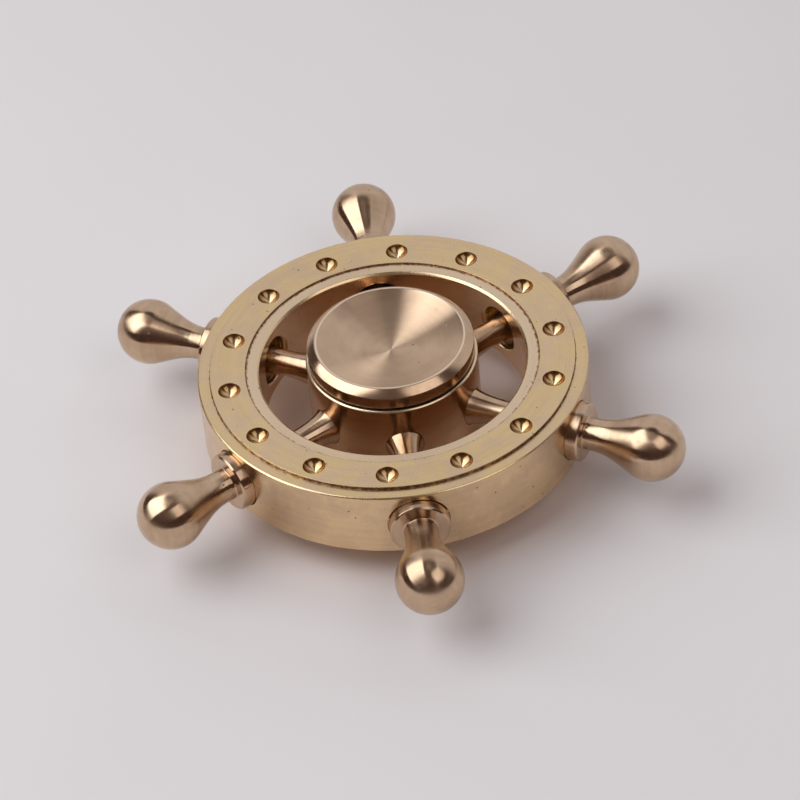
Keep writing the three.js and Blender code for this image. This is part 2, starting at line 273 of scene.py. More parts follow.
class Surface:
    """Gathers patches of points in millimetres and welds them into one closed mesh.

    Each patch has the axis it was cut about, from which its corners get the attributes that the
    metal materials use: "grain", the way the tool ran, and "lathe", its distances from and along
    the axis in millimetres.
    """

    def __init__(self, axis=SPIN_AXIS):
        self.axis = axis
        self.points = []
        self.faces = []
        self.looks = []

    def patch(self, rows, closed=False, material=TURNED, axis=None):
        """Quads between rows of points; closed joins the end of each row to its start."""
        length = len(rows[0])
        first = len(self.points)
        for row in rows:
            self.points.extend(row)
        for row in range(len(rows) - 1):
            for place in range(length if closed else length - 1):
                after = (place + 1) % length
                here = first + row * length
                above = here + length
                self.faces.append((here + place, here + after, above + after, above + place))
                self.looks.append((material, axis or self.axis))

    def fan(self, row, tip, material=TURNED, axis=None):
        """Triangles from a closed row of points to one point."""
        first = len(self.points)
        self.points.extend(row)
        self.points.append(tip)
        for place in range(len(row)):
            after = (place + 1) % len(row)
            self.faces.append((first + place, first + after, first + len(row)))
            self.looks.append((material, axis or self.axis))

    def tool_marks(self, mesh):
        """Writes the grain and lathe attributes at every corner of every face."""
        grain = []
        lathe_place = []
        for face, (_, axis) in zip(self.faces, self.looks):
            corners = [axis.around(self.points[place]) for place in face]
            middle = sum((way for way, _, _ in corners), Vector()).normalized()
            for way, radius, along in corners:
                grain.extend(way.normalized() if radius > ON_AXIS else middle)
                lathe_place.extend((radius, along, 0))
        for name, values in (("grain", grain), ("lathe", lathe_place)):
            attribute = mesh.attributes.new(name, "FLOAT_VECTOR", "CORNER")
            attribute.data.foreach_set("vector", values)

    def piece(self, name, body, nodes, materials):
        """The finished object, riding on its body in place of its CAD nodes."""
        mesh = bpy.data.meshes.new(name)
        mesh.from_pydata([point * MM for point in self.points], [], self.faces)
        for material in materials:
            mesh.materials.append(material)
        mesh.polygons.foreach_set("material_index", [material for material, _ in self.looks])
        self.tool_marks(mesh)
        work = bmesh.new()
        work.from_mesh(mesh)
        weld = 0.0005 * MM
        bmesh.ops.remove_doubles(work, verts=work.verts, dist=weld)
        bmesh.ops.dissolve_degenerate(work, edges=work.edges, dist=weld)
        bmesh.ops.recalc_face_normals(work, faces=work.faces)
        work.to_mesh(mesh)
        work.free()
        mesh.polygons.foreach_set("use_smooth", [True] * len(mesh.polygons))
        obj = new_object(name, mesh)
        weighted = obj.modifiers.new("Weighted normals", "WEIGHTED_NORMAL")
        weighted.keep_sharp = False
        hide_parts(*nodes)
        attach(obj, body)


def circle(radius, height, steps):
    """A level circle of points about Z."""
    return [on_wall(radius, angle, height) for angle in turns(steps)]


def on_wall(radius, angle, height):
    return Vector((radius * cos(angle), radius * sin(angle), height))


def lathe(surface, outline, steps, material=TURNED):
    """Turns an outline about Z. Outline ends on the axis are closed."""
    rings = [point for point in outline if point[0] > ON_AXIS]
    surface.patch([circle(radius, height, steps) for radius, height in rings], True, material)
    for end, ring in ((outline[0], rings[0]), (outline[-1], rings[-1])):
        if end[0] <= ON_AXIS:
            surface.fan(circle(*ring, steps), Vector((0, 0, end[1])), material)


def window(half_width, rows):
    """The edge of a square window from -1 to 1, anticlockwise from the middle of its right side."""
    half_rows = rows // 2
    right = [(1, step / half_rows) for step in range(half_rows)]
    top = [(1 - step / half_width, 1) for step in range(2 * half_width)]
    left = [(-1, 1 - step / half_rows) for step in range(rows)]
    bottom = [(step / half_width - 1, -1) for step in range(2 * half_width)]
    rest = [(1, step / half_rows - 1) for step in range(half_rows)]
    return right + top + left + bottom + rest


def pierced_band(surface, steps, holes, phase, half_width, rows, place, hole_point, material=TURNED):
    """A band of quads right round Z, with a window left for each hole and its quads fitted to the hole.

    place(angle, share) gives the band's points, with share from -1 to 1 across it, and
    hole_point(angle, hole angle) gives the points of the hole's edge.
    """
    step_angle = TAU / steps
    rings_between = 3
    plain = steps // holes - 2 * half_width
    for middle in turns(holes, phase):
        first = middle + half_width * step_angle
        surface.patch([
            [place(first + step * step_angle, 2 * row / rows - 1) for step in range(plain + 1)]
            for row in range(rows + 1)
        ], False, material)
        edge = [
            place(middle + across * half_width * step_angle, up)
            for across, up in window(half_width, rows)
        ]
        mouth = [hole_point(middle, angle) for angle in turns(len(edge))]
        rings = []
        for ring in range(rings_between):
            rings.append([blend_on_band(a, b, ring / rings_between) for a, b in zip(edge, mouth)])
        rings.append([blend_on_band(a, b, guard_share(a, b)) for a, b in zip(edge, mouth)])
        rings.append(mouth)
        surface.patch(rings, True, material)


def guard_share(edge_point, mouth_point):
    """How far from a window's edge to a hole's mouth the guard ring lies."""
    widest = 0.25
    return 1 - min(widest, MOUTH_GUARD / (mouth_point - edge_point).length)


def blend_on_band(start, end, share):
    """A point between two, kept at their shared distance from Z if the band is a wall."""
    point = start.lerp(end, share)
    start_radius = start.xy.length
    end_radius = end.xy.length
    tolerance = 1e-4
    if abs(start_radius - end_radius) < tolerance:
        scale = start_radius / point.xy.length
        point.x *= scale
        point.y *= scale
    return point


def around_x(distance, radius, angle, turn):
    """A point on a circle about the X axis, with that axis then turned about Z."""
    point = Vector((distance, radius * cos(angle), radius * sin(angle)))
    return Matrix.Rotation(turn, 3, "Z") @ point


def radial_axis(turn):
    return Axis((0, 0, 0), on_wall(1, turn, 0))


def mouth_in_wall(wall_radius, hole_radius):
    """Edge points of a radial hole where it meets a round wall."""
    def point(turn, angle):
        sideways = hole_radius * cos(angle)
        distance = sqrt(wall_radius ** 2 - sideways ** 2)
        return around_x(distance, hole_radius, angle, turn)
    return point


# ---------- rim ----------

def rim_face_outlines():
    """The upper face's outline in two parts, each side of the dimples' zone."""
    edge = 0.05
    zone_outer = DIMPLE_CIRCLE_RADIUS + DIMPLE_RADIUS + DIMPLE_ZONE_MARGIN
    zone_inner = DIMPLE_CIRCLE_RADIUS - DIMPLE_RADIUS - DIMPLE_ZONE_MARGIN
    outer = rounded([
        (RIM_RADIUS, RIM_FACE - RIM_EDGE_CHAMFER - WALL_OVERLAP),
        (RIM_RADIUS, RIM_FACE - RIM_EDGE_CHAMFER, edge),
        (RIM_RADIUS - RIM_EDGE_CHAMFER, RIM_FACE, edge),
        (BAND_OUTER_RADIUS, RIM_FACE, edge),
        (BAND_OUTER_RADIUS, BAND_TOP, edge),
        (zone_outer, BAND_TOP),
    ])
    inner = rounded([
        (zone_inner, BAND_TOP),
        (BAND_INNER_RADIUS, BAND_TOP, edge),
        (BAND_INNER_RADIUS, INNER_BAND, edge),
        (RIM_BORE_RADIUS + BORE_CHAMFER, INNER_BAND, edge),
        (RIM_BORE_RADIUS, INNER_BAND - BORE_CHAMFER, edge),
        (RIM_BORE_RADIUS, INNER_BAND - BORE_CHAMFER - WALL_OVERLAP),
    ])
    return outer, inner


def dimple(surface, turn, side, count):
    """One dimple, with a soft lip, a steep wall and a cone-shaped bottom."""
    centre = on_wall(DIMPLE_CIRCLE_RADIUS, turn, 0)
    pull = DIMPLE_DEPTH / 2
    wall = bezier(
        (DIMPLE_RADIUS, 0),
        (DIMPLE_RADIUS - pull * cos(DIMPLE_WALL_ANGLE), -pull * sin(DIMPLE_WALL_ANGLE)),
        (pull * cos(DIMPLE_POINT_ANGLE), pull * sin(DIMPLE_POINT_ANGLE) - DIMPLE_DEPTH),
        (0, -DIMPLE_DEPTH),
        14,
    )
    outline = rounded([(DIMPLE_RADIUS + DIMPLE_LIP, 0), (DIMPLE_RADIUS, 0, DIMPLE_LIP), wall[1]])
    rows = []
    for radius, height in outline + wall[2:-1]:
        rows.append([
            dimple_point(centre, turn, radius, angle, side * (BAND_TOP + height))
            for angle in turns(count)
        ])
    axis = Axis(centre, (0, 0, 1))
    bottom = Vector((centre.x, centre.y, side * (BAND_TOP - DIMPLE_DEPTH)))
    surface.patch(rows, True, CUT, axis)
    surface.fan(rows[-1], bottom, CUT, axis)


def dimple_point(centre, turn, radius, angle, height):
    """A point of a level circle about a dimple, counted from the rim's running direction."""
    along = Vector((-sin(turn), cos(turn), 0))
    outward = on_wall(1, turn, 0)
    point = centre + radius * (cos(angle) * along + sin(angle) * outward)
    point.z = height
    return point


def rim_hole(surface, turn, count):
    """One radial hole: spot face, plain bore for the shank, thread, and chamfered inner mouth."""
    angles = turns(count)
    outer_mouth = mouth_in_wall(RIM_RADIUS, SEAT_RADIUS + SEAT_LIP)
    inner_mouth = mouth_in_wall(RIM_BORE_RADIUS, RIM_HOLE_RADIUS + RIM_MOUTH_CHAMFER)
    lip = [outer_mouth(turn, angle) for angle in angles]
    wall = spot_face_wall(turn, angles)
    under_lip = [(a + b) / 2 for a, b in zip(lip, wall[0])]
    bore = [
        [around_x(distance, RIM_HOLE_RADIUS, angle, turn) for angle in angles]
        for distance in (FLANGE_SEAT, SHANK_END)
    ]
    mouth = [inner_mouth(turn, angle) for angle in angles]
    rows = [lip, under_lip] + wall + bore + thread(turn, angles) + [mouth]
    surface.patch(rows, True, CUT, radial_axis(turn))


def spot_face_wall(turn, angles):
    """Rings of points down the wall of a spot face, to the flange's seat."""
    rows = 2
    rings = []
    for row in range(rows + 1):
        share = row / rows
        ring = []
        for angle in angles:
            sideways = SEAT_RADIUS * cos(angle)
            top = sqrt(RIM_RADIUS ** 2 - sideways ** 2) - 2 * SEAT_LIP
            ring.append(around_x(top + (FLANGE_SEAT - top) * share, SEAT_RADIUS, angle, turn))
        rings.append(ring)
    return rings


def thread(turn, angles):
    """Rings of points down a shallow thread, from the shank's end to the rim's inner wall."""
    end = sqrt(RIM_BORE_RADIUS ** 2 - RIM_HOLE_RADIUS ** 2) + RIM_MOUTH_CHAMFER
    rows = int((SHANK_END - end) / THREAD_PITCH * THREAD_STEPS)
    rings = []
    for row in range(1, rows + 1):
        distance = SHANK_END + (end - SHANK_END) * row / rows
        fade = min(1, row / THREAD_STEPS)
        ring = []
        for angle in angles:
            phase = (SHANK_END - distance) / THREAD_PITCH + angle / TAU
            depth = THREAD_DEPTH * fade * (1 - abs(2 * (phase % 1) - 1))
            ring.append(around_x(distance, RIM_HOLE_RADIUS + depth, angle, turn))
        rings.append(ring)
    return rings


def dimpled_zone(surface, outer_radius, inner_radius, side):
    """The part of a face that holds the dimples, and the dimples."""
    middle = (outer_radius + inner_radius) / 2
    half = (outer_radius - inner_radius) / 2
    height = side * BAND_TOP
    half_width, rows = 5, 10
    mouth_radius = DIMPLE_RADIUS + DIMPLE_LIP
    pierced_band(
        surface, RIM_STEPS, DIMPLE_COUNT, DIMPLE_PHASE, half_width, rows,
        lambda angle, share: on_wall(middle + half * share, angle, height),
        lambda turn, angle: dimple_point(
            on_wall(DIMPLE_CIRCLE_RADIUS, turn, 0), turn, mouth_radius, angle, height,
        ),
    )
    for turn in turns(DIMPLE_COUNT, DIMPLE_PHASE):
        dimple(surface, turn, side, 4 * half_width + 2 * rows)


def build_rim(materials):
    surface = Surface()
    outer, inner = rim_face_outlines()
    for side in (1, -1):
        for part in (outer, inner):
            lathe(surface, sided(part, side), RIM_STEPS)
        dimpled_zone(surface, outer[-1][0], inner[0][0], side)
    walls = (
        (RIM_RADIUS, outer[0][1], SEAT_RADIUS + SEAT_LIP, 9, 12),
        (RIM_BORE_RADIUS, inner[-1][1], RIM_HOLE_RADIUS + RIM_MOUTH_CHAMFER, 11, 8),
    )
    for wall_radius, half_height, hole_radius, half_width, rows in walls:
        pierced_band(
            surface, RIM_STEPS, HANDLE_COUNT, 0, half_width, rows,
            lambda angle, share: on_wall(wall_radius, angle, half_height * share),
            mouth_in_wall(wall_radius, hole_radius), WALL,
        )
    hole_steps = 60
    for turn in turns(HANDLE_COUNT):
        rim_hole(surface, turn, hole_steps)
    surface.piece("turned_rim", "wheel", ["rim"], materials)


# ---------- hub ----------

def build_hub(materials):
    surface = Surface()
    edge = 0.05
    wall_top = HUB_TOP - HUB_CHAMFER - WALL_OVERLAP
    outline = rounded([
        (HUB_RADIUS, wall_top),
        (HUB_RADIUS, HUB_TOP - HUB_CHAMFER, edge),
        (HUB_RADIUS - HUB_CHAMFER, HUB_TOP, edge),
        (HUB_BORE_RADIUS + HUB_CHAMFER, HUB_TOP, edge),
        (HUB_BORE_RADIUS, HUB_TOP - HUB_CHAMFER, edge),
        (HUB_BORE_RADIUS, SHOULDER_HEIGHT, edge),
        (SHOULDER_RADIUS, SHOULDER_HEIGHT, edge),
        (SHOULDER_RADIUS, -HUB_TOP, HUB_CHAMFER),
        (HUB_RADIUS - HUB_CHAMFER, -HUB_TOP, edge),
        (HUB_RADIUS, -HUB_TOP + HUB_CHAMFER, edge),
        (HUB_RADIUS, -wall_top),
    ])
    lathe(surface, outline, HUB_STEPS)
    half_width, rows = 11, 12
    pierced_band(
        surface, HUB_STEPS, HANDLE_COUNT, 0, half_width, rows,
        lambda angle, share: on_wall(HUB_RADIUS, angle, wall_top * share),
        mouth_in_wall(HUB_RADIUS, SPOKE_SEAT_RADIUS + SPOKE_SEAT_LIP), WALL,
    )
    for turn in turns(HANDLE_COUNT):
        spoke_seat(surface, turn, 4 * half_width + 2 * rows)
    surface.piece("turned_hub", "wheel", ["hub"], materials)


def spoke_seat(surface, turn, count):
    """A flat seat for a spoke's end in the hub's wall, and the socket for its stud."""
    angles = turns(count)
    socket_radius = STUD_RADIUS + 0.05
    socket_end = SPOKE_SEAT - STUD_LENGTH - 0.1
    drill_tip = around_x(socket_end - 0.3, 0, 0, turn)
    mouth = mouth_in_wall(HUB_RADIUS, SPOKE_SEAT_RADIUS + SPOKE_SEAT_LIP)
    below = mouth_in_wall(HUB_RADIUS, SPOKE_SEAT_RADIUS)
    rings = [
        [mouth(turn, angle) for angle in angles],
        [seat_wall_point(below, turn, angle) for angle in angles],
    ]
    for distance, radius in (
        (SPOKE_SEAT, SPOKE_SEAT_RADIUS),
        (SPOKE_SEAT, socket_radius),
        (socket_end, socket_radius),
    ):
        rings.append([around_x(distance, radius, angle, turn) for angle in angles])
    surface.patch(rings, True, CUT, radial_axis(turn))
    surface.fan(rings[-1], drill_tip, CUT, radial_axis(turn))


def seat_wall_point(mouth, turn, angle):
    """A point of the seat's wall just under its mouth, never below the seat itself."""
    point = Matrix.Rotation(-turn, 3, "Z") @ mouth(turn, angle)
    point.x = max(point.x - SPOKE_SEAT_LIP, SPOKE_SEAT + 0.01)
    return Matrix.Rotation(turn, 3, "Z") @ point


# ---------- handles ----------

def handle_outline():
    """Half outline as (radius, distance from the spin axis), from stud to ball."""
    edge = 0.04
    spoke_end = SPOKE_SEAT + CLEARANCE
    flange_back = FLANGE_SEAT + CLEARANCE
    flare_end = spoke_end + SPOKE_FLARE_LENGTH
    flare_pull = 1.2
    flare = bezier(
        (SPOKE_FLARE_RADIUS, spoke_end + edge),
        (SPOKE_FLARE_RADIUS - flare_pull * sin(SPOKE_FLARE_ANGLE),
         spoke_end + edge + flare_pull * cos(SPOKE_FLARE_ANGLE)),
        (SPOKE_WAIST_RADIUS, flare_end - 1.3),
        (SPOKE_WAIST_RADIUS, flare_end),
        20,
    )
    root = bezier(
        (SPOKE_WAIST_RADIUS, flare_end),
        (SPOKE_WAIST_RADIUS, flare_end + 1.1),
        (SPOKE_ROOT_RADIUS - 0.35, SHANK_END - 1),
        (SPOKE_ROOT_RADIUS, SHANK_END),
        16,
    )
    stud = rounded([
        (0, spoke_end - STUD_LENGTH),
        (STUD_RADIUS, spoke_end - STUD_LENGTH, 0.2),
        (STUD_RADIUS, spoke_end, edge),
        (SPOKE_FLARE_RADIUS, spoke_end, edge),
        flare[0],
    ])
    shank = rounded([
        root[-2],
        (SPOKE_ROOT_RADIUS, SHANK_END, edge),
        (SHANK_RADIUS - 0.2, SHANK_END, edge),
        (SHANK_RADIUS, SHANK_END + 0.2, edge),
        (SHANK_RADIUS, flange_back, edge),
        (FLANGE_RADIUS, flange_back, 0.1),
        (FLANGE_RADIUS, FLANGE_FACE - FLANGE_CHAMFER, edge),
        (FLANGE_RADIUS - FLANGE_CHAMFER, FLANGE_FACE, edge),
        (NECK_RADIUS, FLANGE_FACE, NECK_FILLET),
        (NECK_RADIUS, FLANGE_FACE + NECK_FILLET),
    ], 5)
    blend = Vector((
        BALL_RADIUS * sin(BALL_BLEND_ANGLE),
        BALL_CENTRE - BALL_RADIUS * cos(BALL_BLEND_ANGLE),
    ))
    neck_pull = 2.3
    ball_pull = 3.4
    neck_start = FLANGE_FACE + NECK_FILLET
    along_ball = Vector((cos(BALL_BLEND_ANGLE), sin(BALL_BLEND_ANGLE)))
    neck = bezier(
        (NECK_RADIUS, neck_start),
        (NECK_RADIUS, neck_start + neck_pull),
        blend - ball_pull * along_ball,
        blend,
        32,
    )
    ball = arc((0, BALL_CENTRE), BALL_RADIUS, BALL_BLEND_ANGLE - TAU / 4, TAU / 4, 40)
    tip = Vector((0, HANDLE_TIP))
    return stud + flare[1:] + root[1:-1] + shank[1:] + with_tool_rings(neck) + ball[1:-1] + [tip]


def with_tool_rings(neck):
    """The neck's curve, with shallow tool rings cut in its first stretch."""
    start = neck[0][1]
    rings_end = start + TOOL_RING_PITCH * TOOL_RINGS
    rings = []
    for step in range(1, 2 * TOOL_RINGS):
        distance = start + step * TOOL_RING_PITCH / 2
        rings.append(Vector((radius_at(neck, distance) - TOOL_RING_DEPTH * (step % 2), distance)))
    return rings + [point for point in neck if point[1] > rings_end]


def radius_at(curve, distance):
    """The radius of a curve of (radius, distance) points at one distance."""
    for before, after in zip(curve, curve[1:]):
        if before[1] <= distance <= after[1]:
            share = (distance - before[1]) / (after[1] - before[1])
            return before[0] + (after[0] - before[0]) * share
    return curve[-1][0]


def build_handles(material):
    outline = handle_outline()
    lay_down = Matrix.Rotation(TAU / 4, 3, "Y")
    for number, turn in enumerate(turns(HANDLE_COUNT), 1):
        surface = Surface(radial_axis(turn))
        lathe(surface, outline, HANDLE_STEPS)
        turn_out = Matrix.Rotation(turn, 3, "Z") @ lay_down
        surface.points = [turn_out @ point for point in surface.points]
        node = f"handle_spoke_{number}"
        surface.piece(f"turned_handle_{number}", "wheel", [node], [material])


# ---------- finger caps ----------

def cap_face():
    """The dished button's outline in two parts: its dish, and from there to its underside."""
    land_inner, land_outer = CAP_LAND_RADII
    sphere_radius = (land_inner ** 2 + DISH_DEPTH ** 2) / (2 * DISH_DEPTH)
    centre = (0, CAP_TOP - DISH_DEPTH + sphere_radius)
    edge_angle = asin((land_inner - 0.06) / sphere_radius)
    dish = arc(centre, sphere_radius, -TAU / 4, edge_angle - TAU / 4, 24)
    edge = 0.04
    edge_of_button = rounded([
        dish[-1],
        (land_inner, CAP_TOP, edge),
        (land_outer, CAP_TOP, edge),
        (CAP_RADIUS, CAP_CHAMFER_BASE, edge),
        (CAP_RADIUS, CAP_UNDERSIDE, 0.09),
        (BOSS_RADIUS, CAP_UNDERSIDE, 0.2),
        (BOSS_RADIUS, RACE_TOP + CLEARANCE, 0.05),
    ])[:-1]
    return dish, edge_of_button


def build_caps(dish_material, material):
    boss_end = RACE_TOP + CLEARANCE
    dish, face = cap_face()
    upper = face + rounded([
        face[-1],
        (BOSS_RADIUS, boss_end, 0.05),
        (CAP_STUD_RADIUS, boss_end, 0.1),
        (CAP_STUD_RADIUS, CAP_STUD_END, 0.3),
        (0, CAP_STUD_END),
    ])[1:]
    lower_face = sided(face, -1)
    lower = lower_face + rounded([
        lower_face[-1],
        (BOSS_RADIUS, -boss_end, 0.05),
        (SLEEVE_RADIUS, -boss_end, 0.05),
        (SLEEVE_RADIUS, SLEEVE_TOP, 0.1),
        (CAP_SOCKET_RADIUS, SLEEVE_TOP, 0.1),
        (CAP_SOCKET_RADIUS, CAP_SOCKET_END, 0.1),
        (0, CAP_SOCKET_END),
    ])[1:]
    for name, node, outline, side in (
        ("upper_finger_cap", "top_cap", upper, 1),
        ("lower_finger_cap", "bottom_cap", lower, -1),
    ):
        surface = Surface()
        lathe(surface, sided(dish, side), CAP_STEPS, CUT)
        lathe(surface, outline, CAP_STEPS)
        surface.piece(name, "finger_caps", [node], [material, dish_material])


# ---------- bearing ----------

def turned_ring(name, body, node, outline, steps, material):
    """A closed ring: its outline ends where it starts."""
    surface = Surface()
    lathe(surface, list(outline) + [outline[0]], steps)
    surface.piece(name, body, [node], [material])


def track(land_radius, middle_angle):
    """The ball track in a race's wall, as outline points running upwards or downwards."""
    half_angle = acos(abs(land_radius - BALL_PITCH_RADIUS) / GROOVE_RADIUS)
    start = middle_angle + half_angle
    end = middle_angle - half_angle
    return arc((BALL_PITCH_RADIUS, 0), GROOVE_RADIUS, start, end, 12)


def build_bearing(steel, nylon):
    edge = 0.12
    lower_inner = rounded([
        (RACE_BORE_RADIUS, 0),
        (RACE_BORE_RADIUS, -RACE_TOP, edge),
        (INNER_LAND_RADIUS, -RACE_TOP, 0.05),
        (INNER_LAND_RADIUS, -RACE_TOP / 2),
    ])
    upper_inner = sided(reversed(lower_inner), -1)
    turned_ring(
        "inner_race", "finger_caps", "bearing_inner_race",
        lower_inner + track(INNER_LAND_RADIUS, TAU / 2) + upper_inner[:-1], RACE_STEPS, steel,
    )
    lower_outer = rounded([
        (OUTER_LAND_RADIUS, -SHIELD_RECESS_BOTTOM + 0.2),
        (OUTER_LAND_RADIUS, -SHIELD_RECESS_BOTTOM, 0.03),
        (SHIELD_RECESS_RADIUS, -SHIELD_RECESS_BOTTOM, 0.03),
        (SHIELD_RECESS_RADIUS, -RACE_TOP, 0.05),
        (RACE_RADIUS, -RACE_TOP, edge),
        (RACE_RADIUS, 0),
    ])
    upper_outer = sided(reversed(lower_outer), -1)
    turned_ring(
        "outer_race", "wheel", "bearing_outer_race",
        lower_outer + upper_outer[1:] + track(OUTER_LAND_RADIUS, 0), RACE_STEPS, steel,
    )
    for side, word in ((1, "upper"), (-1, "lower")):
        build_shield(f"{word}_shield", f"{word}_bearing_shield", side, steel)
        build_snap_ring(f"{word}_split_ring", f"{word}_snap_ring", side, steel)
    build_cage(nylon)
    build_bearing_balls(steel)


def build_shield(name, node, side, material):
    """A thin flat ring that closes one side of the bearing."""
    edge = 0.04
    outer_radius = SHIELD_RECESS_RADIUS - CLEARANCE
    outline = rounded([
        (SHIELD_BORE_RADIUS + 0.5, SHIELD_BOTTOM),
        (SHIELD_BORE_RADIUS, SHIELD_BOTTOM, edge),
        (SHIELD_BORE_RADIUS, SHIELD_TOP, edge),
        (outer_radius, SHIELD_TOP, edge),
        (outer_radius, SHIELD_BOTTOM, edge),
        (SHIELD_BORE_RADIUS + 0.6, SHIELD_BOTTOM),
    ])
    turned_ring(name, "wheel", node, sided(outline, side), RACE_STEPS, material)


def build_snap_ring(name, node, side, material):
    """A flat wire ring with a gap on +X, its section softened at the corners."""
    surface = Surface()
    inner, outer = SNAP_RING_RADII
    low, high = SNAP_RING_HEIGHTS
    edge = 0.05
    section = rounded([
        ((inner + outer) / 2, low),
        (inner, low, edge),
        (inner, high, edge),
        (outer, high, edge),
        (outer, low, edge),
        ((inner + outer) / 2 + 0.01, low),
    ])
    start = SNAP_RING_GAP / 2
    steps = 96
    rows = []
    for step in range(steps + 1):
        angle = start + (TAU - 2 * start) * step / steps
        rows.append([on_wall(radius, side * angle, side * height) for radius, height in section])
    surface.patch(rows, True)
    for row in (rows[0], rows[-1]):
        surface.fan(row, sum(row, Vector()) / len(row))
    surface.piece(name, "wheel", [node], [material])


def build_cage(material):
    surface = Surface()
    inner, outer = CAGE_RADII
    edge = 0.08
    wall_top = CAGE_TOP - CAGE_EDGE_BAND
    half_width, rows = 5, 8
    outline = rounded([
        (outer, wall_top),
        (outer, CAGE_TOP, edge),
        (inner, CAGE_TOP, edge),
        (inner, wall_top),
    ])
    for side in (1, -1):
        lathe(surface, sided(outline, side), CAGE_STEPS)
    mouths = [mouth_in_wall(wall_radius, CAGE_POCKET_RADIUS) for wall_radius in CAGE_RADII]
    for wall_radius, mouth in zip(CAGE_RADII, mouths):
        pierced_band(
            surface, CAGE_STEPS, BEARING_BALL_COUNT, 0, half_width, rows,
            lambda angle, share: on_wall(wall_radius, angle, wall_top * share),
            mouth,
        )
    count = 4 * half_width + 2 * rows
    for turn in turns(BEARING_BALL_COUNT):
        surface.patch([[mouth(turn, angle) for angle in turns(count)] for mouth in mouths], True)
    surface.piece("ball_cage", "cage", ["bearing_cage"], [material])


def build_bearing_balls(material):
    outline = arc((0, 0), BEARING_BALL_RADIUS, -TAU / 4, TAU / 4, 24)
    outline[0].x = outline[-1].x = 0
    for place, turn in enumerate(turns(BEARING_BALL_COUNT), 1):
        number = f"{place:02d}"
        centre = on_wall(BALL_PITCH_RADIUS, turn, 0)
        surface = Surface(Axis(centre, (0, 0, 1)))
        lathe(surface, outline, BEARING_BALL_STEPS)
        surface.points = [point + centre for point in surface.points]
        node = f"bearing_ball_{number}"
        surface.piece(f"steel_ball_{number}", f"ball_{number}", [node], [material])


# ---------- materials ----------

YELLOW = (0.80, 0.595, 0.325, 1)
YELLOW_DARK = (0.76, 0.565, 0.36, 1)
YELLOW_PALE = (0.81, 0.63, 0.43, 1)
SIDE_YELLOW = (0.78, 0.565, 0.335, 1)
SIDE_YELLOW_DARK = (0.70, 0.50, 0.31, 1)
ROSY = (0.62, 0.445, 0.30, 1)
ROSY_DARK = (0.57, 0.40, 0.265, 1)
DISH_ROSY = (0.69, 0.50, 0.345, 1)
DISH_ROSY_DARK = (0.66, 0.48, 0.33, 1)
# A painted highlight for the cap's land.
LAND_HIGHLIGHT_PAINT = (0.88, 0.72, 0.55, 1)
STEEL = (0.62, 0.63, 0.65, 1)
STEEL_DARK = (0.55, 0.56, 0.58, 1)
# Dark tints for the corners of the rim's steps: tarnish with painted shade.
TARNISH_AND_SHADE = (0.13, 0.055, 0.03, 1)
RED_TARNISH_AND_SHADE = (0.21, 0.09, 0.04, 1)
# Painted shade for the dimples' steep walls.
DIMPLE_SHADE_PAINT = (0.31, 0.165, 0.06, 1)
# Painted shade and reflection for the walls inside the rim.
INNER_WALL_PAINTED_SHADE = (0.71, 0.485, 0.30, 1)
PIT = (0.05, 0.025, 0.015, 1)
NYLON = (0.72, 0.67, 0.55, 1)
NYLON_DARK = (0.62, 0.56, 0.44, 1)
FLOOR = (0.81, 0.785, 0.795, 1)
FLOOR_PALE = (0.83, 0.81, 0.82, 1)
# Painted light: the warm glow the brass throws onto the floor, and the radii in millimetres over which
# it fades out.
PAINTED_BRASS_GLOW = (0.89, 0.77, 0.73, 1)
PAINTED_BRASS_GLOW_RADII = (17, 29)

# Noise scales are per millimetre, and depths are in millimetres.
FINE_MARKS = 9
COARSE_MARKS = 1.6
MARK_DRIFT = 0.05
CLOUD_SCALE = 0.3
SPECKLE_SCALE = 4
LONE_PIT_SCALE = 0.45
PIT_CLUSTER_SCALE = 1.3
PIT_DEPTH = 0.05
COARSE_MARK_DEPTH = 8  # times the fine marks' depth
# How much of a step's tarnish and painted shade is left up its wall.
TARNISHED_AND_SHADED_WALL = 0.85
# A quarter turn: highlights stretch across the way the tool ran.
ANISOTROPIC_ROTATION = 0.25


